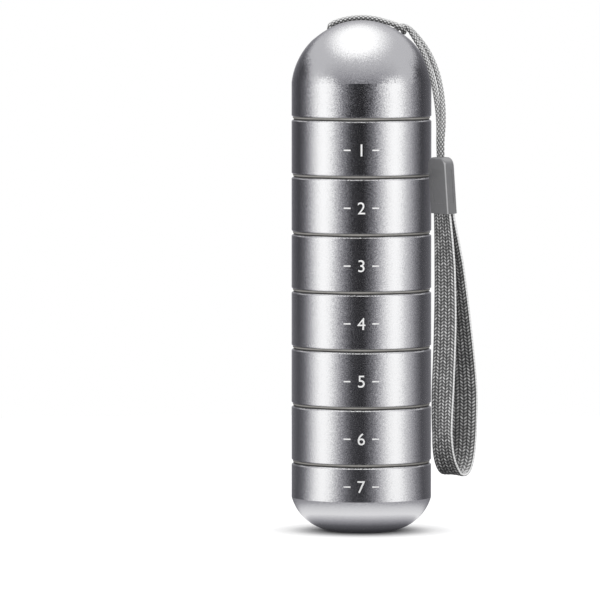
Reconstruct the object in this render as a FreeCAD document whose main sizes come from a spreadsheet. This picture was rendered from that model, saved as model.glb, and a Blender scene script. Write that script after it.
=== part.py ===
import FreeCAD, Part
import math
import os
import re
import Sketcher

# A week's pill organizer: seven turned aluminium cups that screw onto each other, with a soft
# sealing ring in every joint, under a domed screw cap that carries a wrist lanyard.
# Millimetres, +Z up, origin at the middle of the foot on the ground. The front is -Y.

Vector = FreeCAD.Vector
doc = FreeCAD.newDocument("pill_stack")
sheet = doc.addObject("Spreadsheet::Sheet", "Sizes")

SIZES = (
    # the stack
    ("body_d", 40.0, "outside diameter of the cups and the cap"),
    ("base_h", 19.5, "ground to the shoulder of the base cup"),
    ("cup_h", 15.45, "rim to shoulder of a stacking cup"),
    ("foot_flat_r", 7.2, "radius of the flat that the base cup stands on"),
    ("foot_crease_h", 9.7, "ground to the crease where the rounded foot meets the wall"),
    ("base_floor", 1.8, "floor of the base cup"),
    ("floor_t", 1.0, "floor web of a stacking cup"),
    ("floor_fillet", 1.5, "rounding inside a stacking cup, floor to wall"),
    ("shoulder_cut", 0.4, "bright chamfer round each shoulder"),
    ("rim_cut", 0.25, "edge break round each lower rim"),
    # the screw joint
    ("skirt_wall", 0.65, "wall of the threaded skirt"),
    ("thread_room", 0.45, "radial room that the two threads share"),
    ("neck_wall", 0.7, "wall of the threaded neck"),
    ("neck_rise", 3.2, "height of the neck above its sealing ring"),
    ("neck_end_gap", 0.4, "free height above a neck that is screwed home"),
    ("neck_cut", 0.3, "lead-in chamfer at the top of a neck"),
    ("mouth_cut", 0.15, "lead-in chamfer inside a skirt"),
    # the sealing rings
    ("seal_t", 0.95, "height of a sealing ring"),
    ("seal_play", 0.1, "radial gap between ring and neck"),
    ("seal_inset", 0.05, "how far a ring stays inside the outside diameter"),
    ("seal_round", 0.3, "rounded edges of a ring"),
    # the cap
    ("cap_side_h", 9.7, "rim of the cap to the crease where the dome starts"),
    ("dome_h", 17.75, "crease to the top of the dome"),
    ("cap_wall", 2.6, "side wall of the cap's hollow"),
    ("cap_hollow_h", 9.0, "rim to the top of the hollow's straight wall"),
    ("crown_t", 2.35, "dome left above the cross hole"),
    ("cross_hole_d", 3.5, "hole through the dome for the two strands of cord"),
    ("cross_hole_web", 2.8, "metal between the cross hole and the hollow"),
    ("cross_hole_round", 0.6, "rounded edges of the cross hole's mouths"),
    # the lanyard
    ("cord_d", 1.3, "braided cord"),
    ("strand_offset", 0.69, "middle of each of the cord's strands beside the clip's middle"),
    ("exit_h", 3.0, "height over the clip at which the strands may part"),
    ("strap_w", 9.0, "width of the woven strap"),
    ("strap_t", 1.0, "thickness of the woven strap"),
    ("strap_gap", 0.04, "between the strap's two ends in the clip"),
    ("clip_w", 10.0, "width of the moulded clip"),
    ("clip_t", 3.3, "thickness of the moulded clip, both shells"),
    ("clip_h", 16.0, "height of the moulded clip"),
    ("clip_shoulder", 2.6, "radius of the clip's two top corners"),
    ("clip_corner", 0.7, "rounding round the clip's two faces"),
    ("clip_play", 0.1, "play round the strap and the knot inside the clip"),
    ("strap_hold", 6.0, "length of strap held inside the clip"),
    ("knot_w", 4.4, "width of the cord's knot"),
    ("knot_h", 3.0, "height of the cord's knot"),
    ("knot_gap", 1.2, "web between strap and knot inside the clip"),
    ("panel_w", 5.4, "width of the sunk panel on each face of the clip"),
    ("panel_low", 3.0, "lower end of the sunk panels and the grooves"),
    ("panel_high", 12.6, "upper end of the sunk panels and the grooves"),
    ("panel_depth", 0.2, "depth of the sunk panels"),
    ("groove_w", 1.2, "width of the groove down each narrow side of the clip"),
    ("groove_depth", 0.15, "depth of the groove"),
    ("clip_out", 3.45, "clip's middle beyond the side of the stack"),
    ("clip_fore", 12.4, "clip's middle in front of the stack's axis"),
    ("clip_drop", 27.25, "clip's lower end below the cap's rim"),
    ("clip_turn", 61.0, "degrees that the clip's face is turned to the left of the front"),
    ("clip_lean", 4.2, "degrees that the clip leans back to the stack"),
)
STACKED_CUPS = 6
DAYS = STACKED_CUPS + 1
NEAR = 1e-4

for row, (alias, number, meaning) in enumerate(SIZES, start=1):
    sheet.set(f"A{row}", meaning)
    sheet.set(f"B{row}", str(number))
    sheet.setAlias(f"B{row}", alias)
doc.recompute()

# Sizes that follow from the sheet, each an expression of sizes named before it.
DERIVED = (
    ("body_radius", "body_d / 2"),
    ("skirt_radius", "body_radius - skirt_wall"),
    ("neck_radius", "skirt_radius - thread_room"),
    ("bore_radius", "neck_radius - neck_wall"),
    ("neck_height", "seal_t + neck_rise"),
    ("seat_height", "neck_rise + neck_end_gap"),
    ("base_neck_top", "base_h + neck_height"),
    ("foot_round", "((body_radius - foot_flat_r)^2 + foot_crease_h^2) / (2 * foot_crease_h)"),
    ("bowl_round", "foot_round - base_floor"),
    ("bowl_flat_r", "bore_radius - bowl_round"),
    ("bowl_top", "base_floor + bowl_round"),
    ("cup_neck_top", "cup_h + neck_height"),
    ("cup_floor_top", "seat_height + floor_t"),
    ("cup_pitch", "cup_h + seal_t"),
    ("first_rim", "base_h + seal_t"),
    ("cap_rim", f"first_rim + {STACKED_CUPS} * cup_pitch"),
    ("ring_inner", "neck_radius + seal_play"),
    ("ring_outer", "body_radius - seal_inset"),
    ("apex", "cap_side_h + dome_h"),
    ("cross_hole_z", "apex - crown_t - cross_hole_d / 2"),
    ("ceiling", "cross_hole_z - cross_hole_d / 2 - cross_hole_web"),
    ("hollow_radius", "body_radius - cap_wall"),
    ("clip_half_w", "clip_w / 2"),
    ("clip_half_t", "clip_t / 2"),
    ("panel_half_w", "panel_w / 2"),
    ("groove_half_w", "groove_w / 2"),
    ("knot_half_w", "knot_w / 2"),
    ("knot_t", "2 * strap_t"),
    ("knot_round", "0.9 * strap_t"),
    ("knot_low", "strap_hold + knot_gap"),
    ("knot_high", "knot_low + knot_h"),
    ("seat_depth", "strap_t + clip_play"),
    ("strap_offset", "strap_t / 2 + strap_gap / 2"),
    ("strap_seat_half_w", "strap_w / 2 + clip_play"),
    ("strap_seat_top", "strap_hold + clip_play"),
    ("knot_seat_half_w", "knot_half_w + clip_play"),
    ("knot_seat_low", "knot_low - clip_play"),
    ("knot_seat_high", "knot_high + clip_play"),
    ("slot_half_w", "strand_offset + cord_d / 2 + clip_play"),
    ("slot_depth", "cord_d / 2 + clip_play"),
)
derived = doc.addObject("App::VarSet", "Derived")
HOLDERS = {alias: sheet for alias, _, _ in SIZES}


def bound(expression):
    """The expression with each name led by the object that holds it."""
    words = re.split(r"(\w+)", expression)
    return "".join(f"<<{HOLDERS[w].Label}>>.{w}" if w in HOLDERS else w for w in words)


def size(name):
    """The number that a name stands for; '0' is the origin."""
    return float(getattr(HOLDERS[name], name)) if name in HOLDERS else float(name)


for name, expression in DERIVED:
    derived.addProperty("App::PropertyFloat", name)
    derived.setExpression(name, bound(expression))
    HOLDERS[name] = derived
doc.recompute()


# ---- helpers for turned and moulded bodies ----
def new_body(label):
    body = doc.addObject("PartDesign::Body", label)
    body.Label = label
    return body


def plane(body, role):
    return next(f for f in body.Origin.OriginFeatures if f.Role == role)


def new_sketch(body, name, role):
    sketch = body.newObject("Sketcher::SketchObject", name)
    sketch.AttachmentSupport = [(plane(body, role), "")]
    sketch.MapMode = "FlatFace"
    return sketch


def hold(sketch, index, end, across, up):
    """Binds one end of a sketch line to two sizes; '0' keeps it on that axis."""
    for kind, expression in (("DistanceX", across), ("DistanceY", up)):
        if expression == "free":
            continue
        if expression == "0":
            axis = -2 if kind == "DistanceX" else -1
            sketch.addConstraint(Sketcher.Constraint("PointOnObject", index, end, axis))
        else:
            distance = Sketcher.Constraint(kind, -1, 1, index, end, size(expression))
            number = sketch.addConstraint(distance)
            sketch.setExpression(f"Constraints[{number}]", bound(expression))


def bulging_arc(low, high, across):
    """Arc from a lower point anticlockwise up to a higher one, with its centre at that x."""
    squares = (high.x - across) ** 2 - (low.x - across) ** 2 + high.y**2 - low.y**2
    centre = Vector(across, squares / (2 * (high.y - low.y)), 0)
    start, end = (math.atan2(p.y - centre.y, p.x - across) for p in (low, high))
    return Part.ArcOfCircle(Part.Circle(centre, Vector(0, 0, 1), centre.distanceToPoint(low)), start, end)


def turned(body, corners, arcs=None):
    """Revolution of a closed outline. corners are (radius, height) pairs of sizes, in order.
    arcs gives, for each corner whose next side is an arc, the radius of that arc's centre."""
    arcs = arcs or {}
    sketch = new_sketch(body, f"{body.Label}_outline", "XZ_Plane")
    points = [Vector(size(x), size(y), 0) for x, y in corners]
    count = len(points)
    first, last = [], []
    for i, here in enumerate(points):
        there = points[(i + 1) % count]
        if i not in arcs:
            sketch.addGeometry(Part.LineSegment(here, there), False)
        else:
            low, high = sorted((here, there), key=lambda point: point.y)
            sketch.addGeometry(bulging_arc(low, high, size(arcs[i])), False)
        rising = i not in arcs or there.y > here.y
        first.append(1 if rising else 2)
        last.append(2 if rising else 1)
    for i in range(count):
        follower = (i + 1) % count
        joint = Sketcher.Constraint("Coincident", i, last[i], follower, first[follower])
        sketch.addConstraint(joint)
    for i, (x, y) in enumerate(corners):
        hold(sketch, i, first[i], x, y)
    for i, across in arcs.items():
        hold(sketch, i, 3, across, "free")
    revolution = body.newObject("PartDesign::Revolution", f"{body.Label}_turned")
    revolution.Profile = sketch
    revolution.ReferenceAxis = (sketch, ["V_Axis"])
    revolution.Angle = 360.0
    doc.recompute()
    return revolution


def ring_edges(shape, radius, height):
    """Names of the round edges of that radius at that height."""
    names = []
    for i, edge in enumerate(shape.Edges, start=1):
        if edge.Degenerated or not isinstance(edge.Curve, Part.Circle):
            continue
        circle = edge.Curve
        if abs(circle.Radius - radius) < NEAR and abs(circle.Center.z - height) < NEAR:
            names.append(f"Edge{i}")
    return names


def dressed(body, kind, amount, names):
    """Fillet or Chamfer of named edges of the body's last feature."""
    base = body.Tip
    feature = body.newObject(f"PartDesign::{kind}", f"{body.Label}_{kind}")
    feature.Base = (base, names)
    feature.setExpression("Radius" if kind == "Fillet" else "Size", bound(amount))
    doc.recompute()
    return feature


def ring_dressed(body, kind, amount, radius, height):
    names = ring_edges(body.Tip.Shape, size(radius), size(height))
    return dressed(body, kind, amount, names)


def rectangle(sketch, half_width, low, high):
    """A rectangle that is symmetrical about the upright axis, held by three sizes."""
    x = size(half_width)
    corners = ((-x, size(low)), (x, size(low)), (x, size(high)), (-x, size(high)))
    for i, (x, y) in enumerate(corners):
        end_x, end_y = corners[(i + 1) % 4]
        sketch.addGeometry(Part.LineSegment(Vector(x, y, 0), Vector(end_x, end_y, 0)), False)
    for i in range(4):
        sketch.addConstraint(Sketcher.Constraint("Coincident", i, 2, (i + 1) % 4, 1))
    sketch.addConstraint(Sketcher.Constraint("Symmetric", 0, 1, 0, 2, -2))
    sketch.addConstraint(Sketcher.Constraint("Vertical", 1))
    sketch.addConstraint(Sketcher.Constraint("Vertical", 3))
    hold(sketch, 1, 1, half_width, low)
    hold(sketch, 2, 1, "free", high)
    sketch.addConstraint(Sketcher.Constraint("Horizontal", 2))


# ---- the screw joint, shared by every cup and the cap ----
def neck_corners(shoulder, top):
    """Outline of shoulder and neck, from the outside wall in to the bore."""
    outside = [("body_radius", shoulder), ("neck_radius", shoulder)]
    return outside + [("neck_radius", top), ("bore_radius", top)]


def finish_neck(body, shoulder, top):
    ring_dressed(body, "Chamfer", "shoulder_cut", "body_radius", shoulder)
    ring_dressed(body, "Chamfer", "neck_cut", "neck_radius", top)


def finish_skirt(body):
    ring_dressed(body, "Chamfer", "rim_cut", "body_radius", "0")
    ring_dressed(body, "Chamfer", "mouth_cut", "skirt_radius", "0")


# ---- the cups ----
def base_cup():
    """The lowest cup: a small flat foot, rounded up to a crease in the wall, and a round inside."""
    body = new_body("base_cup")
    corners = [("0", "0"), ("foot_flat_r", "0"), ("body_radius", "foot_crease_h")]
    corners += neck_corners("base_h", "base_neck_top")
    corners += [("bore_radius", "bowl_top"), ("bowl_flat_r", "base_floor"), ("0", "base_floor")]
    foot_edge, bowl_edge = 1, 7
    turned(body, corners, arcs={foot_edge: "foot_flat_r", bowl_edge: "bowl_flat_r"})
    finish_neck(body, "base_h", "base_neck_top")
    return body


def stacking_cup(day):
    """A tube wall with a floor web, a threaded skirt below it and a threaded neck on top."""
    body = new_body(f"cup_{day}")
    corners = [("skirt_radius", "0"), ("body_radius", "0"), *neck_corners("cup_h", "cup_neck_top")]
    corners += [("bore_radius", "cup_floor_top"), ("0", "cup_floor_top")]
    corners += [("0", "seat_height"), ("skirt_radius", "seat_height")]
    turned(body, corners)
    ring_dressed(body, "Fillet", "floor_fillet", "bore_radius", "cup_floor_top")
    finish_neck(body, "cup_h", "cup_neck_top")
    finish_skirt(body)
    below = STACKED_CUPS - day
    body.setExpression("Placement.Base.z", bound(f"first_rim + {below} * cup_pitch"))
    return body


def sealing_ring(day):
    """The soft ring on the shoulder of one cup."""
    body = new_body(f"seal_{day}")
    low = [("ring_inner", "0"), ("ring_outer", "0")]
    turned(body, low + [("ring_outer", "seal_t"), ("ring_inner", "seal_t")])
    names = ring_edges(body.Tip.Shape, size("ring_outer"), 0)
    names += ring_edges(body.Tip.Shape, size("ring_outer"), size("seal_t"))
    dressed(body, "Fillet", "seal_round", names)
    below = DAYS - day
    body.setExpression("Placement.Base.z", bound(f"base_h + {below} * cup_pitch"))
    return body


# ---- the cap ----
def dome_cap():
    """A hollow screw cap whose crown is left thick and drilled across for the cord."""
    body = new_body("dome_cap")
    corners = [("skirt_radius", "0"), ("body_radius", "0"), ("body_radius", "cap_side_h")]
    corners += [("0", "apex"), ("0", "ceiling"), ("hollow_radius", "cap_hollow_h")]
    corners += [("hollow_radius", "seat_height"), ("skirt_radius", "seat_height")]
    crease, ceiling = 2, 4
    turned(body, corners, arcs={crease: "0", ceiling: "0"})
    finish_skirt(body)
    before = body.Tip.Shape.Volume
    sketch = new_sketch(body, "cross_hole_circle", "YZ_Plane")
    middle = Vector(0, size("cross_hole_z"), 0)
    circle = Part.Circle(middle, Vector(0, 0, 1), size("cross_hole_d") / 2)
    sketch.addGeometry(circle, False)
    hold(sketch, 0, 3, "0", "cross_hole_z")
    diameter = Sketcher.Constraint("Diameter", 0, size("cross_hole_d"))
    number = sketch.addConstraint(diameter)
    sketch.setExpression(f"Constraints[{number}]", bound("cross_hole_d"))
    hole = body.newObject("PartDesign::Pocket", "cross_hole")
    hole.Profile = sketch
    hole.Type = "ThroughAll"
    hole.Midplane = True
    doc.recompute()
    assert hole.Shape.Volume < before, "the cross hole cuts nothing"
    mouths = []
    for i, edge in enumerate(hole.Shape.Edges, start=1):
        box = edge.BoundBox
        if box.XMin > 0 or box.XMax < 0:
            if box.ZMax > size("cross_hole_z") and box.YLength > size("cross_hole_round"):
                mouths.append(f"Edge{i}")
    dressed(body, "Fillet", "cross_hole_round", mouths)
    body.setExpression("Placement.Base.z", bound("cap_rim"))
    return body


# ---- the lanyard ----
# A cord with both ends knotted inside the clip goes up, through the cross hole, back over the
# crown as two legs, and round its own strands where they leave the hole. The strap is a loop
# whose two ends are held in the clip's lower end.
# Cord points are (x, y, z) from the middle of the cap's rim. The second half of the hitch is
# the first half's mirror image. Strap points are (outward, up) from the clip's lower end.
CORD_UP = (
    (22.1, -10.9, -1.65),
    (21.3, -8.6, 5.75),
    (19.9, -5.9, 12.6),
    (17.75, -3.0, 18.4),
    (15.3, -1.25, 22.2),
)
CORD_HITCH = (
    (13.4, -0.72, 25.35),
    (10.9, -0.69, 26.0),
    (9.3, -0.69, 23.9),
    (-8.85, -0.69, 23.9),
    (-9.3, -0.7, 26.15),
    (-5.05, -0.7, 27.65),
    (-0.75, -0.7, 28.25),
    (3.6, -0.7, 27.95),
    (7.1, -0.85, 26.95),
    (9.3, -1.95, 26.3),
    (11.5, -2.4, 25.3),
    (12.1, -1.25, 24.05),
)
CORD_DOWN = (
    (16.2, 0.5, 22.45),
    (19.1, -1.2, 18.5),
    (21.5, -4.3, 13.2),
    (23.0, -8.4, 5.95),
    (23.3, -11.9, -1.65),
)
STRAP_LOOP = (
    (0.05, -8.0),
    (0.5, -18.0),
    (0.5, -34.0),
    (-0.25, -50.0),
    (-0.6, -61.0),
    (-0.1, -69.5),
    (2.1, -74.4),
    (4.95, -74.1),
    (6.4, -69.5),
    (6.8, -60.5),
    (7.0, -50.0),
    (5.5, -33.5),
    (3.4, -16.5),
    (1.85, -7.5),
)
ARC_SHARE = 0.45

turn = FreeCAD.Rotation(Vector(0, 0, 1), -size("clip_turn"))
lean = FreeCAD.Rotation(Vector(1, 0, 0), size("clip_lean"))
clip_x = size("body_radius") + size("clip_out")
clip_z = size("cap_rim") - size("clip_drop")
clip_foot = Vector(clip_x, -size("clip_fore"), clip_z)
clip_place = FreeCAD.Placement(clip_foot, turn.multiply(lean))
strap_place = FreeCAD.Placement(clip_foot, turn)


def rounded_path(points, what):
    """Straight runs through the points, joined by tangent arcs as large as the runs allow."""
    runs = [b - a for a, b in zip(points, points[1:])]
    edges, radii = [], []
    here = points[0]
    for corner, before, after in zip(points[1:], runs, runs[1:]):
        cut = ARC_SHARE * min(before.Length, after.Length)
        half_turn = before.getAngle(after) / 2
        radius = cut / math.tan(half_turn)
        ahead = Vector(after).normalize()
        back = Vector(before).normalize()
        start, end = corner - back * cut, corner + ahead * cut
        sag = radius * (1 / math.cos(half_turn) - 1)
        middle = corner + (ahead - back).normalize() * sag
        edges.append(Part.LineSegment(here, start).toShape())
        edges.append(Part.Arc(start, middle, end).toShape())
        radii.append(round(radius, 2))
        here = end
    edges.append(Part.LineSegment(here, points[-1]).toShape())
    print(what, "arc radii", radii)
    return Part.Wire(edges)


def swept(section, path, area, what):
    solid = path.makePipeShell([section], True, False)
    share = solid.Volume / (area * path.Length)
    print(what, "length", round(path.Length, 1), "volume by section and length", round(share, 4))
    return solid


def free_feature(label, shape, placement):
    item = doc.addObject("Part::Feature", label)
    item.Label = label
    item.Shape = shape
    item.Placement = placement
    return item


def strand_in_clip(side, origin):
    """The straight stretch of one strand, from the knot's top to a little over the clip."""
    heights = (size("knot_high"), size("clip_h") + size("exit_h"))
    across = side * size("strand_offset")
    return [clip_place.multVec(Vector(across, 0, z)) - origin for z in heights]


def lanyard_cord():
    """The braided cord as a plain tube along its whole route."""
    origin = Vector(0, 0, size("cap_rim"))
    first, second = strand_in_clip(-1, origin), strand_in_clip(1, origin)
    up, down, out = ([Vector(*p) for p in route] for route in (CORD_UP, CORD_DOWN, CORD_HITCH))
    home = [Vector(p.x, -p.y, p.z) for p in reversed(out)]
    points = first + up + out + home + down + second[::-1]
    path = rounded_path(points, "cord")
    radius = size("cord_d") / 2
    circle = Part.Circle(points[0], points[1] - points[0], radius)
    section = Part.Wire(circle.toShape())
    tube = swept(section, path, math.pi * radius**2, "cord")
    return free_feature("lanyard_cord", tube, FreeCAD.Placement(origin, FreeCAD.Rotation()))


def wrist_strap():
    """The flat woven strap: one long loop, both ends in the clip."""
    mouth, held = size("strap_offset"), size("strap_hold")
    leaning = held * math.tan(math.radians(size("clip_lean")))
    route = [(-mouth - leaning, held), (-mouth, 0), *STRAP_LOOP]
    route += [(mouth, 0), (mouth - leaning, held)]
    points = [Vector(0, outward, up) for outward, up in route]
    path = rounded_path(points, "strap")
    width, thickness = size("strap_w"), size("strap_t")
    across = Vector(width / 2, 0, 0)
    out = (points[1] - points[0]).cross(across).normalize() * (thickness / 2)
    corners = [-across - out, across - out, across + out, -across + out, -across - out]
    section = Part.makePolygon([points[0] + corner for corner in corners])
    band = swept(section, path, width * thickness, "strap")
    return free_feature("wrist_strap", band, strap_place)


def upright_edges(shape, least):
    """Names of the edges that are at least that tall."""
    edges = enumerate(shape.Edges, start=1)
    return [f"Edge{i}" for i, edge in edges if edge.BoundBox.ZLength >= least - NEAR]


def cord_knot():
    """Where the cord's two ends are knotted and fused: a flattened bead inside the clip."""
    body = new_body("cord_knot")
    sketch = new_sketch(body, "cord_knot_outline", "XZ_Plane")
    rectangle(sketch, "knot_half_w", "knot_low", "knot_high")
    pad = body.newObject("PartDesign::Pad", "cord_knot_pad")
    pad.Profile = sketch
    pad.Midplane = True
    pad.setExpression("Length", bound("knot_t"))
    doc.recompute()
    dressed(body, "Fillet", "knot_round", upright_edges(pad.Shape, size("knot_h")))
    body.Placement = clip_place
    return body


def pocket(body, name, role, offset, sides, depth, reverse):
    """A rectangular pocket from a plane; the solid has to lose material to it."""
    before = body.Tip.Shape.Volume
    sketch = new_sketch(body, f"{body.Label}_{name}_outline", role)
    if offset:
        sketch.setExpression("AttachmentOffset.Base.z", bound(offset))
        doc.recompute()
    rectangle(sketch, *sides)
    cut = body.newObject("PartDesign::Pocket", f"{body.Label}_{name}")
    cut.Profile = sketch
    cut.Reversed = reverse
    cut.setExpression("Length", bound(depth))
    doc.recompute()
    assert cut.Shape.Volume < before, f"{name} cuts nothing in {body.Label}"
    return cut


def clip_shell(label, inward_side):
    """Half of the moulded clip, hollowed for the strap's ends, the knot and the strands.
    inward_side is True for the shell that lies on the stack's side of the split."""
    body = new_body(label)
    sketch = new_sketch(body, f"{label}_outline", "XZ_Plane")
    rectangle(sketch, "clip_half_w", "0", "clip_h")
    pad = body.newObject("PartDesign::Pad", f"{label}_pad")
    pad.Profile = sketch
    pad.Reversed = not inward_side
    pad.setExpression("Length", bound("clip_half_t"))
    doc.recompute()
    shoulders, outline = [], []
    for i, edge in enumerate(pad.Shape.Edges, start=1):
        box = edge.BoundBox
        if box.ZMin > size("clip_h") - NEAR and box.XLength < NEAR:
            shoulders.append(f"Edge{i}")
    dressed(body, "Fillet", "clip_shoulder", shoulders)
    outer_face = (-1 if inward_side else 1) * size("clip_half_t")
    for i, edge in enumerate(body.Tip.Shape.Edges, start=1):
        box = edge.BoundBox
        if abs(box.YMin - outer_face) + abs(box.YMax - outer_face) < NEAR and box.ZMax > NEAR:
            outline.append(f"Edge{i}")
    dressed(body, "Fillet", "clip_corner", outline)
    face = "clip_half_t" if inward_side else "-clip_half_t"
    panel = ("panel_half_w", "panel_low", "panel_high")
    pocket(body, "panel", "XZ_Plane", face, panel, "panel_depth", not inward_side)
    groove = ("groove_half_w", "panel_low", "panel_high")
    pocket(body, "right_groove", "YZ_Plane", "clip_half_w", groove, "groove_depth", False)
    pocket(body, "left_groove", "YZ_Plane", "-clip_half_w", groove, "groove_depth", True)
    strap_seat = ("strap_seat_half_w", "0", "strap_seat_top")
    pocket(body, "strap_seat", "XZ_Plane", "", strap_seat, "seat_depth", inward_side)
    knot_seat = ("knot_seat_half_w", "knot_seat_low", "knot_seat_high")
    pocket(body, "knot_seat", "XZ_Plane", "", knot_seat, "seat_depth", inward_side)
    slot = ("slot_half_w", "knot_seat_high", "clip_h")
    pocket(body, "cord_slot", "XZ_Plane", "", slot, "slot_depth", inward_side)
    body.Placement = clip_place
    return body


base_cup()
for day in range(STACKED_CUPS, 0, -1):
    stacking_cup(day)
for day in range(DAYS, 0, -1):
    sealing_ring(day)
dome_cap()
clip_shell("clip_front", True)
clip_shell("clip_back", False)
cord_knot()
lanyard_cord()
wrist_strap()

doc.recompute()
for item in doc.Objects:
    assert "Invalid" not in item.State and "Error" not in item.State, f"{item.Label}: {item.State}"

sub_parts = [item for item in doc.Objects if item.TypeId in ("PartDesign::Body", "Part::Feature")]
for item in sub_parts:
    assert not item.Shape.isNull() and item.Shape.isValid(), f"{item.Label} has no valid shape"

os.makedirs("parts", exist_ok=True)
for item in sub_parts:
    item.Shape.exportStep(f"parts/{item.Label}.step")
print(len(sub_parts), "sub-parts")
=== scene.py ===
import math

import bmesh
import bpy
import numpy as np
from mathutils import Matrix, Vector


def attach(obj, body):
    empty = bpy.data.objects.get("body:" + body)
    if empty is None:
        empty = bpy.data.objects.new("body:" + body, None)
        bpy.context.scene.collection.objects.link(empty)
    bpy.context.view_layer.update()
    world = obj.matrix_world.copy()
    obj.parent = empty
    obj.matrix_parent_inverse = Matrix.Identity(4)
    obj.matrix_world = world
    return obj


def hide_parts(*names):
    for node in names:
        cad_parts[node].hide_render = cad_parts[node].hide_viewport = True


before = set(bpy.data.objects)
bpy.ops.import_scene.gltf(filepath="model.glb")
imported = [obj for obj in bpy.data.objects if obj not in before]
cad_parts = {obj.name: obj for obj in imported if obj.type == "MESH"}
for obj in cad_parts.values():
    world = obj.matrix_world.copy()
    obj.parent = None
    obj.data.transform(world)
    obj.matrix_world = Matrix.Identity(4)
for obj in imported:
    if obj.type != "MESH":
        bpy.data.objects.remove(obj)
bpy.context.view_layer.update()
MM = 0.001

# ---- sizes of the object, in millimetres as the model has them ----
BODY_R = 20.0
NECK_R = 18.9
SKIRT_R = 19.35
SHOULDER_1 = 19.5
SEAL_T = 0.95
CUP_PITCH = 16.4
STACKED_CUPS = 6
DAYS = STACKED_CUPS + 1
CAP_RIM = SHOULDER_1 + SEAL_T + STACKED_CUPS * CUP_PITCH
THREAD_PITCH = 0.75
CORD_D = 1.3
STRAP_W = 9.0
STRAP_T = 1.0
# The clip: the middle of its foot, its turn about the upright and its lean in degrees, its height.
CLIP_FOOT = (23.45, -12.4, CAP_RIM - 27.25)
CLIP_TURN = 61.0
CLIP_LEAN = 4.2
CLIP_H = 16.0
# The cord's two strands: from the clip's middle to each, where they leave the knot over the
# clip's foot, and how far they run straight on over the clip's top.
STRAND_OFFSET = 0.69
KNOT_TOP = 10.2
EXIT_H = 3.0
# The strap's two ends: how far they reach up into the clip, and from its middle to each.
STRAP_HOLD = 6.0
STRAP_OFFSET = 0.52


def upper_body(day):
    """The CAD body that rises when this day's cup is opened."""
    return f"day_{day - 1}" if day > 1 else "cap"


def own_body(day):
    """The CAD body of this day's cup."""
    return "base" if day == DAYS else f"day_{day}"


def shoulder_z(day):
    return SHOULDER_1 + (DAYS - day) * CUP_PITCH


# ---- camera: nearly telephoto and a little above the stack, its distances in millimetres ----
# The photo's scale, and where the stack's axis and the ground lie in it.
PIXELS = 600
PX_PER_MM = 3.4965
AXIS_PX = 361.5
GROUND_PX = 531.4
CAMERA_AWAY = 1860.0
CAMERA_UP = 170.0
SENSOR = 36.0
SEEN_TO = 50000.0


def place_in_scene(name, data):
    item = bpy.data.objects.new(name, data)
    bpy.context.scene.collection.objects.link(item)
    return item


def look_at(item, place, target):
    item.location = Vector(place) * MM
    towards = (Vector(target) - Vector(place)).normalized()
    item.rotation_euler = towards.to_track_quat("-Z", "Y").to_euler()


def add_camera():
    data = bpy.data.cameras.new("camera")
    data.sensor_width = SENSOR
    data.lens = SENSOR * PX_PER_MM * CAMERA_AWAY / PIXELS
    data.clip_end = SEEN_TO * MM
    camera = place_in_scene("camera", data)
    centre_x = (PIXELS / 2 - AXIS_PX) / PX_PER_MM
    centre_z = (GROUND_PX - PIXELS / 2) / PX_PER_MM
    look_at(camera, (0, -CAMERA_AWAY, CAMERA_UP), (centre_x, 0, centre_z))
    bpy.context.scene.camera = camera


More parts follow.
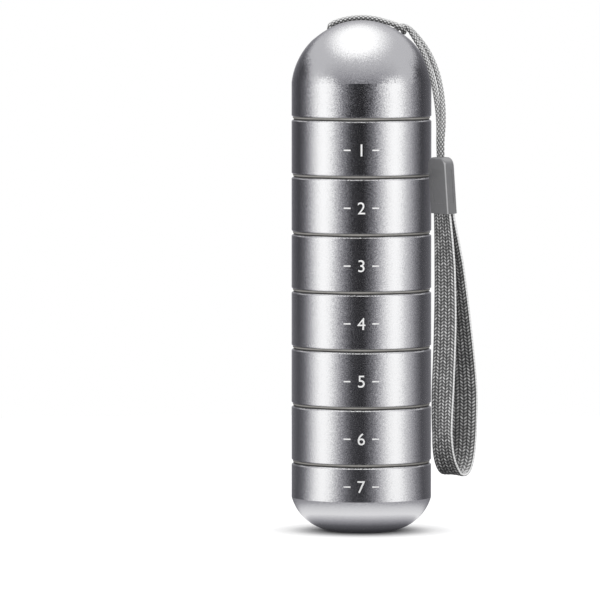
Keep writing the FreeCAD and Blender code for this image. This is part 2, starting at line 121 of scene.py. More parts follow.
# ---- node helpers ----
class Nodes:
    """A node tree with a short way to add and join nodes."""

    def __init__(self, tree):
        self.tree = tree

    def add(self, kind, inputs=None, **settings):
        node = self.tree.nodes.new(kind)
        for key, value in settings.items():
            setattr(node, key, value)
        for key, value in (inputs or {}).items():
            self.feed(node, key, value)
        return node

    def feed(self, node, key, value):
        socket = node.inputs[key]
        if isinstance(value, bpy.types.NodeSocket):
            self.tree.links.new(value, socket)
        else:
            socket.default_value = value

    def math(self, operation, a, b=0.0, c=0.0):
        node = self.add("ShaderNodeMath", operation=operation)
        for i, value in enumerate((a, b, c)):
            self.feed(node, i, value)
        return node.outputs[0]

    def vector(self, operation, *values):
        node = self.add("ShaderNodeVectorMath", dict(enumerate(values)), operation=operation)
        return node.outputs

    def scaled(self, value, factor, offset):
        return self.math("MULTIPLY_ADD", value, factor, offset)

    def step(self, value, low, high):
        """0 to 1, smoothly, as the value goes from low to high. Low may be the larger."""
        inputs = {"Value": value, "From Min": low, "From Max": high}
        node = self.add("ShaderNodeMapRange", inputs, interpolation_type="SMOOTHSTEP")
        return node.outputs["Result"]

    def mix(self, a, b, share):
        """a where the share is 0, b where it is 1."""
        return self.math("MULTIPLY_ADD", self.math("SUBTRACT", b, a), share, a)

    def ramp(self, factor, stops):
        """Colours between stops of a position and a colour or a grey."""
        node = self.add("ShaderNodeValToRGB", {"Fac": factor})
        elements = node.color_ramp.elements
        while len(elements) < len(stops):
            elements.new(0.5)
        for element, (position, color) in zip(elements, stops):
            element.position = position
            element.color = (*color, 1.0) if isinstance(color, tuple) else (color,) * 3 + (1.0,)
        return node.outputs["Color"]

    def place(self):
        """The point's place on its own object, in metres."""
        return self.add("ShaderNodeTexCoord").outputs["Object"]

    def facing(self):
        return self.add("ShaderNodeNewGeometry").outputs["Normal"]

    def relief(self):
        """The value that a piece's own mesh carries at each point: the height of the yarns' relief,
        and on the sealing rings a share that sets their painted shade.
        """
        return self.add("ShaderNodeAttribute", attribute_name="relief").outputs["Fac"]

    def split(self, vector):
        return self.add("ShaderNodeSeparateXYZ", {"Vector": vector}).outputs

    def noise(self, place, scale, detail, output="Fac"):
        """Noise from 0 to 1, its scale per metre."""
        inputs = {"Vector": place, "Scale": scale, "Detail": detail}
        return self.add("ShaderNodeTexNoise", inputs).outputs[output]

    def bump(self, height, strength, distance):
        inputs = {"Height": height, "Strength": strength, "Distance": distance}
        return self.add("ShaderNodeBump", inputs).outputs["Normal"]

    def varied(self, value, noise, amount):
        """The value with a noise added, its middle at no change."""
        return self.scaled(noise, amount, self.math("SUBTRACT", value, amount / 2))

    def tilted(self, normal, place, scale, amount):
        """The normal turned a little, in any direction, from grain to grain."""
        grain = self.noise(place, scale, 0.0, output="Color")
        centred = self.vector("SUBTRACT", grain, (0.5,) * 3)["Vector"]
        pushed = self.vector("MULTIPLY_ADD", centred, (amount,) * 3, normal)["Vector"]
        return self.vector("NORMALIZE", pushed)["Vector"]


class MaterialNodes(Nodes):
    """A new material's nodes."""

    def __init__(self, name):
        self.material = bpy.data.materials.new(name)
        self.material.use_nodes = True
        super().__init__(self.material.node_tree)
        self.shader = self.tree.nodes["Principled BSDF"]

    def set(self, **values):
        for key, value in values.items():
            self.feed(self.shader, key.replace("_", " "), value)

    def finish(self, shader):
        self.tree.links.new(shader.outputs[0], self.tree.nodes["Material Output"].inputs["Surface"])


# ---- light: plain lamps, and a light tent with printed soft boxes that only gloss reflects ----
# Upright lamps: azimuth in degrees, 0 at the camera's side and positive to the viewer's right,
# then width, height, distance, height of the middle, and strength.
LAMPS = {
    "left_lamp": (-62, 640, 1100, 800, 130, 1.25),
    "right_lamp": (62, 640, 1100, 800, 130, 1.25),
    "front_lamp": (0, 1000, 1000, 1500, 300, 3.2),
}
# The lamp overhead: width, depth and strength.
TOP_LAMP = (1500, 900, 1.2)
TOP_LAMP_PLACE = (0, -60, 1000)

TENT_R = 1200.0
TENT_MIDDLE = 100.0
TENT_SEGMENTS, TENT_RINGS = 64, 40
TENT_PEAK = 1.2
# Brightness round the tent at the stack's height: degrees from the camera's side, positive to
# the viewer's right, and the brightness there. A soft box on each side, and a pale wall behind.
TENT_AROUND = (
    (-180, 0.5), (-155, 0.15), (-125, 0.05), (-108, 0.13), (-96, 0.36), (-82, 0.86), (-72, 1.15),
    (-62, 1.2), (-52, 1.05), (-42, 0.62), (-30, 0.24), (-16, 0.03), (4, 0.0), (20, 0.18),
    (34, 0.66), (46, 1.08), (58, 1.2), (67, 1.08), (78, 0.66), (100, 0.2), (116, 0.05),
    (155, 0.15), (180, 0.5),
)
# Brightness over the camera's side by elevation in degrees, and over the two sides.
TENT_UP = ((0, 0.12), (12, 0.22), (21, 0.34), (32, 0.45), (42, 0.53), (55, 0.62), (90, 0.62))
TENT_SIDES = 0.58
SIDES_FADE = (40, 80)
# The pattern round the tent gives way to the brightness overhead between two elevations, which
# are higher over the soft boxes and behind the stack.
AROUND_ENDS = (3.0, 14.0)
SOFT_BOX_RISE = 10.0
SOFT_BOX_BRIGHT = (0.3, 0.9)
BEHIND_RISE = 16.0
BEHIND_FADE = (88, 112)
# Half widths of the round glow overhead, as shares of its height over the stack: sideways,
# towards the camera and away from it. TOP_GLOW_FADE says where it starts and is full, as
# multiples of those.
TOP_GLOW_X, TOP_GLOW_FRONT, TOP_GLOW_BACK = 0.45, 0.475, 0.9
TOP_GLOW_SHIFT = (0.08, 0.062)
TOP_GLOW_FADE = (1.85, 0.5)
TOP_GLOW = 1.3
LEAST_HEIGHT = 10.0

# Brightness of the card on the floor by distance from the stack's axis: shade under the foot,
# then a glow.
CARD_NEAR = (
    (7, 0.03), (11, 0.04), (14, 0.12), (16.5, 0.36), (20.5, 0.85), (25.5, 0.72), (33, 0.38),
    (43, 0.25),
)
# Beyond CARD_FADE it repeats the tent's pattern, a little weaker and never quite black.
CARD_MIRROR, CARD_LEAST = 0.9, 0.04
CARD_INNER_R = 7.3
CARD_FADE = (45.0, 75.0)
CARD_Z = 0.05
CARD_STEPS = 96
# Colour of what gloss reflects, by its brightness: a little cooler where it is dim.
TENT_TINT = ((0.0, (0.9, 0.89, 1.0)), (0.5, (0.965, 0.96, 1.0)), (1.0, 1.0))

WHITE = (1, 1, 1, 1)
# Strength of the world as light. To the camera and in reflections it is plain white.
WORLD_LIGHT = 0.35
FLOOR_R = 450.0
FLOOR_STEPS = 96
FLOOR_COLOR = (0.5, 0.5, 0.5, 1)
FLOOR_ROUGHNESS = 0.6
# The floor's own white, which the camera sees, fades out towards the foot between two distances,
# which paints a shadow round the foot.
FLOOR_WHITE = 0.72
FLOOR_FADE = (8.0, 32.0)


def soft_lamp(name, width, height, strength):
    data = bpy.data.lights.new(name, "AREA")
    data.shape = "RECTANGLE"
    data.size, data.size_y = width * MM, height * MM
    data.energy = strength * math.pi * width * MM * height * MM
    lamp = place_in_scene(name, data)
    lamp.visible_camera = False
    lamp.visible_glossy = False
    return lamp


def add_lights():
    for name, (azimuth, width, height, away, middle, strength) in LAMPS.items():
        angle = math.radians(azimuth)
        place = (away * math.sin(angle), -away * math.cos(angle), middle)
        look_at(soft_lamp(name, width, height, strength), place, (0, 0, middle))
    soft_lamp("top_lamp", *TOP_LAMP).location = Vector(TOP_LAMP_PLACE) * MM


def tent_around(nodes, place):
    """The printed brightness round the tent, and the compass angle that it is read at."""
    xyz = nodes.split(place)
    azimuth = nodes.math("ARCTAN2", xyz["X"], nodes.math("MULTIPLY", xyz["Y"], -1.0))
    share = nodes.scaled(azimuth, 0.5 / math.pi, 0.5)
    stops = [((angle + 180) / 360, bright / TENT_PEAK) for angle, bright in TENT_AROUND]
    return nodes.math("MULTIPLY", nodes.ramp(share, stops), TENT_PEAK), azimuth, xyz


def top_glow(nodes, xyz):
    """1 in the middle of the glow overhead, 0 outside it."""
    height = nodes.math("MAXIMUM", xyz["Z"], LEAST_HEIGHT * MM)
    across, along = (
        nodes.math("ADD", nodes.math("DIVIDE", xyz[axis], height), shift)
        for axis, shift in zip("XY", TOP_GLOW_SHIFT)
    )
    part = nodes.math("DIVIDE", across, TOP_GLOW_X)
    squares = nodes.math("MULTIPLY", part, part)
    for side, half in (("MINIMUM", TOP_GLOW_FRONT), ("MAXIMUM", TOP_GLOW_BACK)):
        part = nodes.math("DIVIDE", nodes.math(side, along, 0.0), half)
        squares = nodes.math("MULTIPLY_ADD", part, part, squares)
    return nodes.step(nodes.math("SQRT", squares), *TOP_GLOW_FADE)


def add_tent():
    bpy.ops.mesh.primitive_uv_sphere_add(
        segments=TENT_SEGMENTS, ring_count=TENT_RINGS, radius=TENT_R * MM
    )
    tent = bpy.context.object
    tent.name = "light_tent"
    tent.location.z = TENT_MIDDLE * MM
    tent.data.shade_smooth()
    nodes = MaterialNodes("light_tent")
    around, azimuth, xyz = tent_around(nodes, nodes.place())
    sine = nodes.math("DIVIDE", xyz["Z"], TENT_R * MM)
    elevation = nodes.math("MULTIPLY", nodes.math("ARCSINE", sine), 180 / math.pi)
    aside = nodes.math("ABSOLUTE", azimuth)
    box = nodes.step(around, *SOFT_BOX_BRIGHT)
    behind = nodes.step(aside, *np.radians(BEHIND_FADE))
    rise = nodes.scaled(behind, BEHIND_RISE, nodes.math("MULTIPLY", box, SOFT_BOX_RISE))
    high = nodes.step(elevation, *(nodes.math("ADD", rise, end) for end in AROUND_ENDS))
    up = nodes.ramp(nodes.math("DIVIDE", elevation, 90.0), [(e / 90, v) for e, v in TENT_UP])
    up = nodes.mix(up, TENT_SIDES, nodes.step(aside, *np.radians(SIDES_FADE)))
    bright = nodes.mix(around, up, high)
    finish_tent(tent, nodes, nodes.mix(bright, TOP_GLOW, top_glow(nodes, xyz)))


def add_floor_card():
    """A card on the floor, so that gloss sees the tent's pattern there and not the white floor."""
    verts, faces = [], []
    for i in range(CARD_STEPS):
        angle = 2 * math.pi * i / CARD_STEPS
        for radius in (CARD_INNER_R, TENT_R):
            verts.append((radius * MM * math.cos(angle), radius * MM * math.sin(angle), 0.0))
        count = 2 * CARD_STEPS
        faces.append((2 * i, 2 * i + 1, (2 * i + 3) % count, (2 * i + 2) % count))
    mesh = bpy.data.meshes.new("floor_card")
    mesh.from_pydata(verts, [], faces)
    card = place_in_scene("floor_card", mesh)
    card.location.z = CARD_Z * MM
    nodes = MaterialNodes("floor_card")
    place = nodes.place()
    around, _, _ = tent_around(nodes, place)
    start, end = CARD_FADE
    away = nodes.math("MULTIPLY", nodes.vector("LENGTH", place)["Value"], 1 / (end * MM))
    near = nodes.ramp(away, [(r / end, v) for r, v in CARD_NEAR])
    far = nodes.scaled(around, CARD_MIRROR, CARD_LEAST)
    finish_tent(card, nodes, nodes.mix(near, far, nodes.step(away, start / end, 1.0)))


def finish_tent(piece, nodes, bright):
    """Light that only reflections see."""
    inputs = {"Color": nodes.ramp(bright, TENT_TINT), "Strength": bright}
    nodes.finish(nodes.add("ShaderNodeEmission", inputs))
    nodes.material.cycles.emission_sampling = "NONE"
    piece.data.materials.append(nodes.material)
    piece.visible_camera = False
    piece.visible_diffuse = False
    piece.visible_transmission = False
    piece.visible_shadow = False


def white_for_view(nodes, other):
    """1 to the camera, in reflections and through glass, and another strength for other light."""
    paths = nodes.add("ShaderNodeLightPath").outputs
    seen = nodes.math("MAXIMUM", paths["Is Camera Ray"], paths["Is Glossy Ray"])
    seen = nodes.math("MAXIMUM", seen, paths["Is Transmission Ray"])
    return nodes.scaled(seen, 1.0 - other, other)


def add_world():
    world = bpy.data.worlds.new("studio")
    bpy.context.scene.world = world
    world.use_nodes = True
    nodes = Nodes(world.node_tree)
    background = nodes.tree.nodes["Background"]
    nodes.feed(background, "Color", WHITE)
    nodes.feed(background, "Strength", white_for_view(nodes, WORLD_LIGHT))


def add_floor():
    bpy.ops.mesh.primitive_circle_add(vertices=FLOOR_STEPS, radius=FLOOR_R * MM, fill_type="NGON")
    floor = bpy.context.object
    floor.name = "floor"
    nodes = MaterialNodes("floor")
    nodes.set(Base_Color=FLOOR_COLOR, Roughness=FLOOR_ROUGHNESS)
    away = nodes.vector("LENGTH", nodes.place())["Value"]
    # Painted shadow: the white glow is taken away near the foot.
    shade_ends = nodes.step(away, *(end * MM for end in FLOOR_FADE))
    glow = nodes.math("MULTIPLY", shade_ends, FLOOR_WHITE)
    strength = nodes.math("MULTIPLY", white_for_view(nodes, 0.0), glow)
    emission = nodes.add("ShaderNodeEmission", {"Color": WHITE, "Strength": strength})
    both = nodes.add("ShaderNodeAddShader", {0: nodes.shader.outputs[0], 1: emission.outputs[0]})
    nodes.finish(both)
    floor.data.materials.append(nodes.material)


# ---- materials: scales of noise per metre, depths of bumps in metres ----
# How far the metal's grain turns the surface's direction on the cups and on the cap.
CUP_GRAIN, CAP_GRAIN = 0.16, 0.22
GRAIN_SCALE = 3300.0
METAL_COLOR = (0.83, 0.83, 0.84, 1)
METAL_ROUGHNESS = 0.08
ROUGHER_BY_GRAIN, ROUGHER_BY_CLOUD = 0.15, 0.05
RING_STRETCH = (0.02, 0.02, 1)

SILICONE_DUST = 0.3
# Greys of the rings, from painted shade in the groove (low) to the lip (high).
SILICONE_COLORS = (
    (0.1, (0.05, 0.048, 0.045)), (0.6, (0.2, 0.195, 0.185)), (1.0, (0.36, 0.35, 0.33)),
)

CLIP_CLOUD = 0.3
# Greys of the clip: its moulding varied by a cloud, up to a painted highlight.
CLIP_COLORS = (
    (0.0, (0.15, 0.15, 0.154)), (0.3, (0.185, 0.185, 0.19)), (1.0, (0.42, 0.42, 0.425)),
)
# Where the clip gets a painted highlight, by the parts of its surface's direction: on the rounding
# between two upright faces, and on top.
ROUNDING_TURNED, ROUNDING_LEVEL = (0.93, 0.8), (0.5, 0.3)
TOP_TURNED, TOP_HIGHLIGHT = (0.15, 0.8), 0.45

YARN_FIBRE = 0.5
# How much the surface's direction paints highlight on the yarn's top and shade on its underside.
YARN_TOP_LIGHT = 0.6
# Greys of painted shade between the stitches, of the stitches' bodies and of painted highlight on
# their crowns, and the heights of these.
CORD_SHADES = (0.04, 0.24, 0.7)
STRAP_SHADES = (0.008, 0.2, 0.85)
YARN_STOPS = (0.05, 0.5, 0.95)

INK_COLORS = ((0.3, 0.78), (0.6, 0.88))


def aluminium(name, tilt):
    """Fine-turned metal, bead-blasted and anodised: a salt-and-pepper grain over faint rings."""
    nodes = MaterialNodes(name)
    place = nodes.place()
    grain = nodes.noise(place, scale=2900.0, detail=1.0)
    stretched = nodes.add("ShaderNodeMapping", {"Vector": place, "Scale": RING_STRETCH})
    rings = nodes.noise(stretched.outputs["Vector"], scale=2200.0, detail=2.0)
    cloud = nodes.noise(place, scale=60.0, detail=3.0)
    rough = nodes.scaled(grain, ROUGHER_BY_GRAIN, METAL_ROUGHNESS)
    nodes.set(Base_Color=METAL_COLOR, Metallic=1.0)
    nodes.set(Roughness=nodes.scaled(cloud, ROUGHER_BY_CLOUD, rough))
    ringed = nodes.bump(rings, strength=0.5, distance=0.00001)
    nodes.set(Normal=nodes.tilted(ringed, place, GRAIN_SCALE, tilt))
    return nodes.material


def silicone():
    """Milky grey, a little warm and dusty, with painted shade in its groove and along its top edge.
    """
    nodes = MaterialNodes("silicone")
    dust = nodes.noise(nodes.place(), scale=900.0, detail=3.0)
    # Painted shade in the groove and at the top edge, from the share that each ring's outline
    # carries, varied by dust.
    share = nodes.varied(nodes.relief(), dust, SILICONE_DUST)
    nodes.set(Base_Color=nodes.ramp(share, SILICONE_COLORS), Roughness=0.5)
    nodes.set(Normal=nodes.bump(dust, strength=0.3, distance=0.00004))
    return nodes.material


def plastic():
    """Dark grey moulding with a fine spark-eroded grain, with painted highlight on top and along
    the rounded edges.
    """
    nodes = MaterialNodes("clip_plastic")
    place = nodes.place()
    grain = nodes.noise(place, scale=3200.0, detail=3.0)
    cloud = nodes.noise(place, scale=500.0, detail=2.0)
    turned = {"Vector": nodes.facing(), "Rotation": (0, 0, math.radians(CLIP_TURN))}
    own = nodes.add("ShaderNodeMapping", turned, vector_type="VECTOR").outputs["Vector"]
    side, face, up = nodes.split(nodes.vector("ABSOLUTE", own)["Vector"])
    # Painted highlight on the rounded upright edges and on top.
    rounding = nodes.step(nodes.math("MAXIMUM", side, face), *ROUNDING_TURNED)
    edge = nodes.math("MULTIPLY", rounding, nodes.step(up, *ROUNDING_LEVEL))
    highlight_share = nodes.scaled(nodes.step(up, *TOP_TURNED), TOP_HIGHLIGHT, edge)
    share = nodes.scaled(cloud, CLIP_CLOUD, highlight_share)
    nodes.set(Base_Color=nodes.ramp(share, CLIP_COLORS), Roughness=0.5)
    nodes.set(Normal=nodes.bump(grain, strength=0.5, distance=0.00005))
    return nodes.material


def yarn(name, shades):
    """Grey yarn with a fine fibre, with painted shade between the stitches and on its underside,
    and painted highlight on the crowns and on top."""
    nodes = MaterialNodes(name)
    fibre = nodes.noise(nodes.place(), scale=7000.0, detail=2.0)
    # Painted highlight on top and painted shade on the underside, by the surface's direction.
    up = nodes.split(nodes.facing())["Z"]
    lit_from_above = nodes.scaled(up, YARN_TOP_LIGHT, nodes.relief())
    share = nodes.varied(lit_from_above, fibre, YARN_FIBRE)
    # Painted shade between the stitches and painted highlight on their crowns, from the relief.
    nodes.set(Base_Color=nodes.ramp(share, tuple(zip(YARN_STOPS, shades))))
    nodes.set(Roughness=0.85, Sheen_Weight=0.15)
    nodes.set(Normal=nodes.bump(fibre, strength=0.5, distance=0.00005))
    return nodes.material


def print_white():
    """Screen-printed ink, a little uneven."""
    nodes = MaterialNodes("numeral_print")
    ink = nodes.noise(nodes.place(), scale=2500.0, detail=2.0)
    nodes.set(Base_Color=nodes.ramp(ink, INK_COLORS), Roughness=0.45)
    return nodes.material


# ---- the lanyard's route, as the model has it ----
# Places over the middle of the cap's rim: up from the clip, half of the hitch, down to the clip.
CORD_UP = (
    (22.1, -10.9, -1.65), (21.3, -8.6, 5.75), (19.9, -5.9, 12.6), (17.75, -3.0, 18.4),
    (15.3, -1.25, 22.2),
)
CORD_HITCH = (
    (13.4, -0.72, 25.35), (10.9, -0.69, 26.0), (9.3, -0.69, 23.9), (-8.85, -0.69, 23.9),
    (-9.3, -0.7, 26.15), (-5.05, -0.7, 27.65), (-0.75, -0.7, 28.25), (3.6, -0.7, 27.95),
    (7.1, -0.85, 26.95), (9.3, -1.95, 26.3), (11.5, -2.4, 25.3), (12.1, -1.25, 24.05),
)
CORD_DOWN = (
    (16.2, 0.5, 22.45), (19.1, -1.2, 18.5), (21.5, -4.3, 13.2), (23.0, -8.4, 5.95),
    (23.3, -11.9, -1.65),
)
# Places below the clip's foot, outward and up.
STRAP_LOOP = (
    (0.05, -8.0), (0.5, -18.0), (0.5, -34.0), (-0.25, -50.0), (-0.6, -61.0), (-0.1, -69.5),
    (2.1, -74.4), (4.95, -74.1), (6.4, -69.5), (6.8, -60.5), (7.0, -50.0), (5.5, -33.5),
    (3.4, -16.5), (1.85, -7.5),
)
ROUTE_STEPS = 16
turn = Matrix.Rotation(math.radians(-CLIP_TURN), 4, "Z")
lean = Matrix.Rotation(math.radians(CLIP_LEAN), 4, "X")
strap_place = Matrix.Translation(CLIP_FOOT) @ turn
clip_place = strap_place @ lean


def route_line(name, points):
    """A smooth line through a route: the points of its NURBS spline, in metres."""
    curve = bpy.data.curves.new(name, "CURVE")
    curve.dimensions = "3D"
    curve.resolution_u = ROUTE_STEPS
    spline = curve.splines.new("NURBS")
    spline.points.add(len(points) - 1)
    for point, place in zip(spline.points, points):
        point.co = (*(Vector(place) * MM), 1.0)
    spline.order_u = 3
    spline.use_endpoint_u = True
    carrier = place_in_scene(name, curve)
    bpy.context.view_layer.update()
    mesh = bpy.data.meshes.new_from_object(carrier)
    line = np.array([v.co for v in mesh.vertices])
    bpy.data.objects.remove(carrier)
    bpy.data.meshes.remove(mesh)
    return line


def evenly(line, step):
    """The line again with its points that far apart, in metres."""
    lengths = np.r_[0, np.cumsum(np.linalg.norm(np.diff(line, axis=0), axis=1))]
    count = max(2, int(round(lengths[-1] / step)))
    stations = np.linspace(0, lengths[-1], count + 1)
    even = np.stack([np.interp(stations, lengths, line[:, i]) for i in range(3)], axis=1)
    return even, stations


def cord_points():
    cap = Vector((0, 0, CAP_RIM))
    heights = (KNOT_TOP, CLIP_H + EXIT_H)
    first, second = (
        [clip_place @ Vector((side * STRAND_OFFSET, 0, z)) for z in heights] for side in (-1, 1)
    )
    up, down, out = ([Vector(p) + cap for p in r] for r in (CORD_UP, CORD_DOWN, CORD_HITCH))
    home = [Vector((p.x, -p.y, p.z)) for p in reversed(out)]
    return first + up + out + home + down + second[::-1]


def strap_points():
    leaning = STRAP_HOLD * math.tan(math.radians(CLIP_LEAN))
    route = [(-STRAP_OFFSET - leaning, STRAP_HOLD), (-STRAP_OFFSET, 0), *STRAP_LOOP]
    route += [(STRAP_OFFSET, 0), (STRAP_OFFSET - leaning, STRAP_HOLD)]
    return [strap_place @ Vector((0, outward, up)) for outward, up in route]


def mesh_piece(name, verts, faces, material, smooth=True, relief=None):
    mesh = bpy.data.meshes.new(name)
    mesh.from_pydata([tuple(v) for v in verts], [], faces)
    mesh.materials.append(material)
    if relief is not None:
        mesh.attributes.new("relief", "FLOAT", "POINT").data.foreach_set("value", relief.ravel())
    if smooth:
        mesh.shade_smooth()
    return place_in_scene(name, mesh)


def grid_faces(rows, columns):
    """Faces of an open tube whose points lie ring by ring."""
    faces = []
    for i in range(rows - 1):
        for j in range(columns):
            a, b = i * columns + j, i * columns + (j + 1) % columns
            faces.append((a, b, b + columns, a + columns))
    return faces


def rod_faces(rows, columns):
    """The same with both ends closed."""
    last = (rows - 1) * columns
    ends = [tuple(range(columns))[::-1], tuple(range(last, last + columns))]
    return grid_faces(rows, columns) + ends


def unit(vectors):
    return vectors / np.linalg.norm(vectors, axis=-1, keepdims=True)


def along_frames(line):
    """For each point of a line two directions across it that don't twist."""
    direction = unit(np.gradient(line, axis=0))
    side = np.cross(direction[0], (0.3, 0.2, 1.0))
    sides = []
    for d in direction:
        side = unit(side - d * np.dot(side, d))
        sides.append(side)
    sides = np.array(sides)
    return sides, np.cross(direction, sides)


# ---- the cord: a round braid ----
CARRIERS = 5
STITCH = 0.65
# How deep the braid is cut between strands, and how far its fibres stand out from the cord.
BRAID_DEPTH = 0.13
BRAID_FLUFF = 0.16
# Points of the mesh round the cord, and their distance along it.
BRAID_AROUND = 42
BRAID_STEP = 0.1
# Each strand is a rounded ridge that sinks by this share where the next one crosses over it.
RIDGE_POWER = 1.2
CROWN_SHARE = 0.8


def braided_cord(material):
    """Tube with the over-and-under relief of a round braid."""
    line = route_line("cord_route", cord_points())
    even, stations = evenly(line, BRAID_STEP * MM)
    side, other = along_frames(even)
    around = np.arange(BRAID_AROUND) / BRAID_AROUND
    lap, turn_share = np.meshgrid(stations / MM / (2 * STITCH), around, indexing="ij")
    relief = braid(CARRIERS * turn_share + lap, CARRIERS * turn_share - lap)
    radius = (CORD_D / 2 + BRAID_FLUFF - BRAID_DEPTH * (1 - relief)) * MM
    angle = 2 * math.pi * turn_share
    verts = (
        even[:, None, :]
        + (radius * np.cos(angle))[..., None] * side[:, None, :]
        + (radius * np.sin(angle))[..., None] * other[:, None, :]
    )
    faces = rod_faces(len(even), BRAID_AROUND)
    cord = mesh_piece("braided_cord", verts.reshape(-1, 3), faces, material, relief=relief)
    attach(cord, "cap")
    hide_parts("lanyard_cord")
    return cord


def braid(left, right):
    """Height from 0 to 1 of two crossing families of strands that go over and under."""
    over = (np.floor(left) + np.floor(right)) % 2 < 1
    top = np.where(over, left, right) % 1.0
    run = np.where(over, right, left) % 1.0
    ridge = np.sin(math.pi * top) ** RIDGE_POWER
    crown = np.sin(math.pi * run)
    return ridge * (1 - CROWN_SHARE + CROWN_SHARE * crown)


# ---- the strap: a flat band of herringbone columns between two selvedges ----
# Its thickness at the very edge as a share, and how sharply it thins there.
STRAP_EDGE = 0.25
EDGE_POWER = 10
# Points of the mesh across the band, and their distance along it.
WEAVE_ACROSS = 56
WEAVE_STEP = 0.19
# Columns, length of a stitch, and how far a stitch slants over its column, as a share of that.
V_COLUMNS = 6
V_STITCH = 0.93
V_SLANT = 0.9
# Share of the half width where the selvedge starts, and how deep its loops are cut, as a share.
SELVEDGE = 0.93
SELVEDGE_LOOPS = 0.25
WEAVE_DEPTH = 0.12
STITCH_POWER = 0.9
VALLEY_POWER = 0.7
VALLEY_SHARE = 0.9
STITCH_PULL = (0.72, 1.05)
PULL_SEED = 11
# How far the band's width is turned from +x towards the camera, in degrees, by the distance
# along it: both ends lie flat in the clip, and the loop's back band twists to face the front.
STRAP_TWIST = (
    (0, 61), (6, 61), (21, 51), (39, 47), (57, 47), (69, 53), (82, 46), (95, 38), (107, 38),
    (125, 45), (143, 50), (158, 61), (165, 61),
)


def woven_strap(material):
    """Flat band with a herringbone relief on both faces and a firm selvedge."""
    line = route_line("strap_route", strap_points())
    even, stations = evenly(line, WEAVE_STEP * MM)
    direction = unit(np.gradient(even, axis=0))
    turned = np.radians(np.interp(stations / MM, *zip(*STRAP_TWIST)))
    across = np.stack([np.cos(turned), -np.sin(turned), 0 * turned], axis=1)
    across = unit(across - direction * (across * direction).sum(axis=1)[:, None])
    out = np.cross(direction, across)
    share = np.linspace(-1, 1, WEAVE_ACROSS)
    relief = herringbone(*np.meshgrid(stations / MM / V_STITCH, share, indexing="ij"))
    edge = np.sqrt(np.clip(1 - np.abs(share) ** EDGE_POWER, 0, 1))
    thick = STRAP_T / 2 * (STRAP_EDGE + (1 - STRAP_EDGE) * edge)
    half = (thick[None, :] - WEAVE_DEPTH * (1 - relief)) * MM
    width = share * STRAP_W / 2 * MM
    flat = even[:, None, :] + width[None, :, None] * across[:, None, :]
    face_up = flat + half[..., None] * out[:, None, :]
    face_down = flat - half[..., None] * out[:, None, :]
    verts = np.concatenate([face_up, face_down[:, ::-1]], axis=1)
    both = np.concatenate([relief, relief[:, ::-1]], axis=1)
    faces = rod_faces(len(even), 2 * WEAVE_ACROSS)
    strap = mesh_piece("woven_strap", verts.reshape(-1, 3), faces, material, relief=both)
    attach(strap, "cap")
    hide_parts("wrist_strap")
    return strap


def herringbone(lap, spot):
    """Height from 0 to 1 of slanted stitches whose slant turns from column to column; each one is
    pulled a little tighter or looser than the next."""
    column = (spot / SELVEDGE + 1) / 2 * V_COLUMNS
    within = column % 1.0
    slant = np.where(np.floor(column) % 2 < 1, within, 1 - within)
    along = lap + V_SLANT * slant
    stitch = np.abs(np.sin(math.pi * along)) ** STITCH_POWER
    valley = np.sin(math.pi * within) ** VALLEY_POWER
    count = int(lap.max()) + 2
    pulls = np.random.default_rng(PULL_SEED).uniform(*STITCH_PULL, (count, V_COLUMNS))
    stitch_number = np.floor(along).astype(int)
    column_number = np.clip(column, 0, V_COLUMNS - 1).astype(int)
    pull = pulls[stitch_number, column_number]
    middle = stitch * (1 - VALLEY_SHARE + VALLEY_SHARE * valley) * pull
    loops = 1 - SELVEDGE_LOOPS * (1 - np.abs(np.sin(math.pi * lap)))
    return np.where(np.abs(spot) > SELVEDGE, loops, middle)


# ---- the printed numerals ----
NUMERAL_H = 3.4
# How far their middles lie below the cup's shoulder.
NUMERAL_Z = 8.2
BASE_NUMERAL_Z = 5.4
PRINT_LIFT = 0.012
PRINT_STRIP = 0.3
DASH_W = 2.0
DASH_H = 0.4
DASH_AWAY = 4.1


def wrapped(verts, z, lift):
    """Flat points (across, up) laid on the front of the stack's side."""
    placed = []
    for x, y, _ in verts:
        angle = x / BODY_R
        radius = (BODY_R + lift) * MM
        placed.append((radius * math.sin(angle), -radius * math.cos(angle), (z + y) * MM))
    return placed


def numeral_mesh(text):
    """A numeral's outline filled flat, its height to size, as a bmesh in millimetres."""
    curve = bpy.data.curves.new("numeral", "FONT")
    curve.body = text
    carrier = place_in_scene("numeral", curve)
    bpy.context.view_layer.update()
    flat = bmesh.new()
    flat.from_mesh(bpy.data.meshes.new_from_object(carrier))
    bpy.data.objects.remove(carrier)
    points = np.array([v.co for v in flat.verts])
    low, high = points.min(0), points.max(0)
    scale = NUMERAL_H / (high[1] - low[1])
    bmesh.ops.translate(flat, verts=flat.verts, vec=Vector(-(low + high) / 2))
    bmesh.ops.scale(flat, verts=flat.verts, vec=(scale, scale, 0))
    return flat


def add_dash(flat, middle):
    half_w, half_h = DASH_W / 2, DASH_H / 2
    corners = ((-half_w, -half_h), (half_w, -half_h), (half_w, half_h), (-half_w, half_h))
    flat.faces.new([flat.verts.new((middle + x, y, 0)) for x, y in corners])


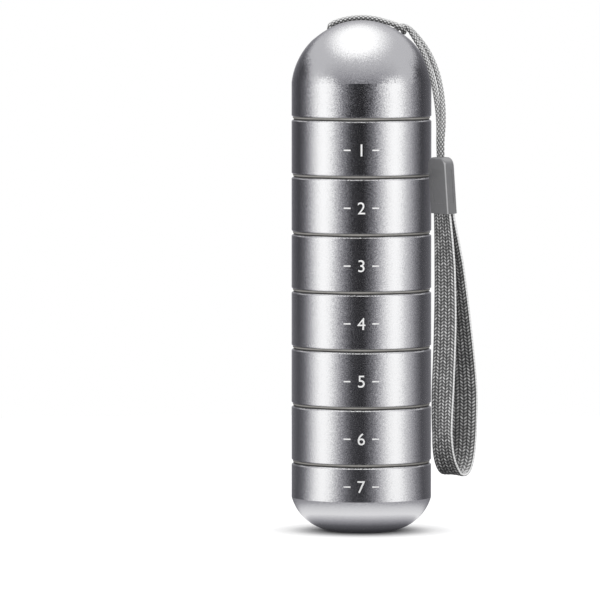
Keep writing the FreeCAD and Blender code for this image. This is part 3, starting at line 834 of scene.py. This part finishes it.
def add_numerals(material):
    """Each day's numeral between two dashes, cut into narrow strips that follow the wall."""
    reach = DASH_AWAY + DASH_W / 2
    for day in range(1, DAYS + 1):
        flat = numeral_mesh(str(day))
        for side in (-1, 1):
            add_dash(flat, side * DASH_AWAY)
        for x in np.arange(-reach, reach, PRINT_STRIP):
            everything = flat.verts[:] + flat.edges[:] + flat.faces[:]
            bmesh.ops.bisect_plane(flat, geom=everything, plane_co=(x, 0, 0), plane_no=(1, 0, 0))
        flat.verts.index_update()
        verts = [tuple(v.co) for v in flat.verts]
        faces = [tuple(v.index for v in face.verts) for face in flat.faces]
        flat.free()
        z = shoulder_z(day) - (BASE_NUMERAL_Z if day == DAYS else NUMERAL_Z)
        name = f"numeral_{day}"
        piece = mesh_piece(name, wrapped(verts, z, PRINT_LIFT), faces, material, smooth=False)
        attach(piece, own_body(day))


# ---- the sealing rings: a rounded lip over a narrow groove ----
# Outline as (radius, height over the shoulder, and a share that the colour follows: low for painted
# shade in the groove and at the top edge, 1 on the lip).
RING_OUTLINE = (
    (19.02, 0.0, 0.0), (19.3, 0.0, 0.0), (19.34, 0.14, 0.0), (19.38, 0.28, 0.1),
    (19.55, 0.38, 0.7), (19.63, 0.52, 1.0), (19.64, 0.68, 1.0), (19.62, 0.8, 0.6),
    (19.58, 0.9, 0.1), (19.55, 0.95, 0.0), (19.02, 0.95, 0.0),
)
RING_STEPS = 160


def add_rings(material):
    columns = len(RING_OUTLINE)
    count = columns * RING_STEPS
    faces = [tuple(v % count for v in face) for face in grid_faces(RING_STEPS + 1, columns)]
    # The share of painted shade at each outline point, repeated round the ring.
    relief = np.tile([r for _, _, r in RING_OUTLINE], RING_STEPS)
    for day in range(1, DAYS + 1):
        verts = []
        for i in range(RING_STEPS):
            angle = 2 * math.pi * i / RING_STEPS
            for radius, up, _ in RING_OUTLINE:
                place = radius * math.cos(angle), radius * math.sin(angle), shoulder_z(day) + up
                verts.append(tuple(v * MM for v in place))
        ring = mesh_piece(f"sealing_ring_{day}", verts, faces, material, relief=relief)
        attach(ring, f"ring_{day}")
        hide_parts(f"seal_{day}")


# ---- the threads: right-handed, the skirt's ridge half a pitch over the neck's ----
THREAD_TURNS = 3.1
# Height of the neck's ridge over the shoulder where it begins, and points in a turn.
THREAD_START = 1.35
THREAD_STEPS = 56
NECK_CREST = 19.2
SKIRT_CREST = 19.05
THREAD_ROOT_HALF = 0.27
THREAD_CREST_HALF = 0.08
# How deep the root is sunk into the wall, and the share of a turn in which an end runs out.
THREAD_BURIED = 0.05
THREAD_RUNOUT = 0.2


def thread(name, root, crest, low, material, body):
    """A helical ridge between two radii, sunk into the wall that carries it and run out at both
    ends."""
    count = int(THREAD_TURNS * THREAD_STEPS) + 1
    laps = np.linspace(0, THREAD_TURNS, count)
    ends = np.clip(np.minimum(laps, THREAD_TURNS - laps) / THREAD_RUNOUT, 0, 1)
    buried = root - THREAD_BURIED * np.sign(crest - root)
    top = buried + (crest - buried) * ends
    angle = 2 * math.pi * laps
    z = low + THREAD_PITCH * laps
    section = (
        (buried, -THREAD_ROOT_HALF), (top, -THREAD_CREST_HALF),
        (top, THREAD_CREST_HALF), (buried, THREAD_ROOT_HALF),
    )
    edges = [
        np.stack([radius * np.sin(angle), -radius * np.cos(angle), z + up], axis=1)
        for radius, up in section
    ]
    verts = np.stack(edges, axis=1).reshape(-1, 3) * MM
    piece = mesh_piece(name, verts, rod_faces(count, len(section)), material)
    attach(piece, body)


def add_threads(material):
    for day in range(1, DAYS + 1):
        low = shoulder_z(day) + THREAD_START
        thread(f"neck_thread_{day}", NECK_R, NECK_CREST, low, material, own_body(day))
        over = low + THREAD_PITCH / 2
        thread(f"skirt_thread_{day}", SKIRT_R, SKIRT_CREST, over, material, upper_body(day))


# ---- put together ----
add_camera()
add_world()
add_lights()
add_tent()
add_floor_card()
add_floor()

metal = aluminium("aluminium", CUP_GRAIN)
cap_metal = aluminium("cap_aluminium", CAP_GRAIN)
rubber = silicone()
moulding = plastic()
cord_yarn = yarn("cord_yarn", CORD_SHADES)
strap_yarn = yarn("strap_yarn", STRAP_SHADES)
white = print_white()

lanyard = [braided_cord(cord_yarn), woven_strap(strap_yarn)]
for name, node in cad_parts.items():
    node.data.materials.clear()
    if name.startswith("seal"):
        material = rubber
    elif name.startswith("clip"):
        material = moulding
        lanyard.append(node)
    elif name == "cord_knot":
        material = cord_yarn
        lanyard.append(node)
    elif name in ("lanyard_cord", "wrist_strap"):
        material = cord_yarn
    else:
        material = cap_metal if name == "dome_cap" else metal
    node.data.materials.append(material)

# The photo shows no mirror image of the lanyard in the metal.
for piece in lanyard:
    piece.visible_glossy = False
add_numerals(white)
add_rings(rubber)
add_threads(metal)

scene = bpy.context.scene
scene.view_settings.view_transform = "Standard"
bpy.context.view_layer.update()
